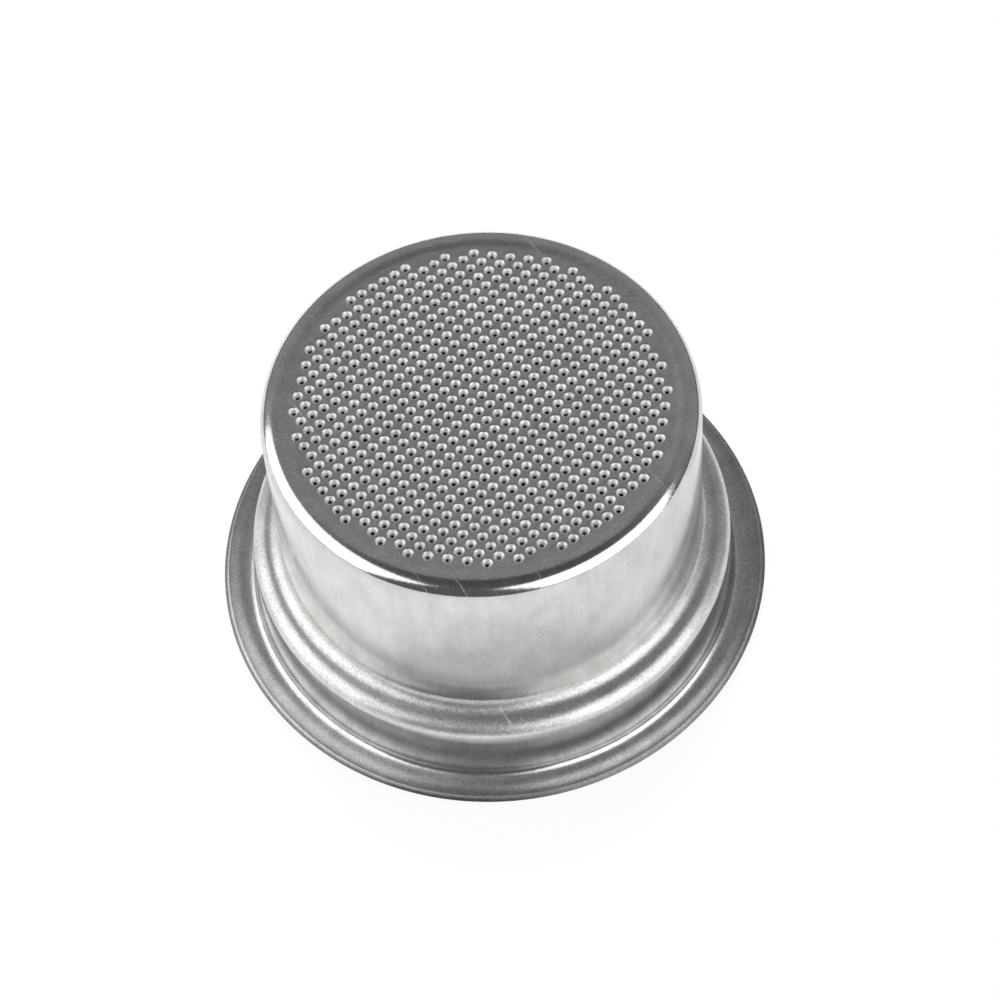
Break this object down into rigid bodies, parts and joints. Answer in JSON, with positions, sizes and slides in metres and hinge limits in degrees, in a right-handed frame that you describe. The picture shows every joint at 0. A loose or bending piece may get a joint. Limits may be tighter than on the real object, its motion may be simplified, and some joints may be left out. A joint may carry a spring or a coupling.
{
  "type": "espresso filter basket",
  "caption": "Drawn stainless steel coffee filter basket: a deep round cup with a perforated flat base, a stepped collar and a turned-up rim.",
  "frame": {"origin": "centre of the circle on which the rim's flat face rests", "axes": "+Z along the basket's axis, from the mouth to the perforated base; +X and +Y along the rows of holes"},
  "size_m": [0.06, 0.06, 0.0313],
  "materials": {
    "stainless_steel": "bright drawn stainless sheet, matt and grainy where the bends were stretched"
  },
  "bodies": {
    "root": {"filter_basket": "stainless_steel"}
  },
  "joints": []
}
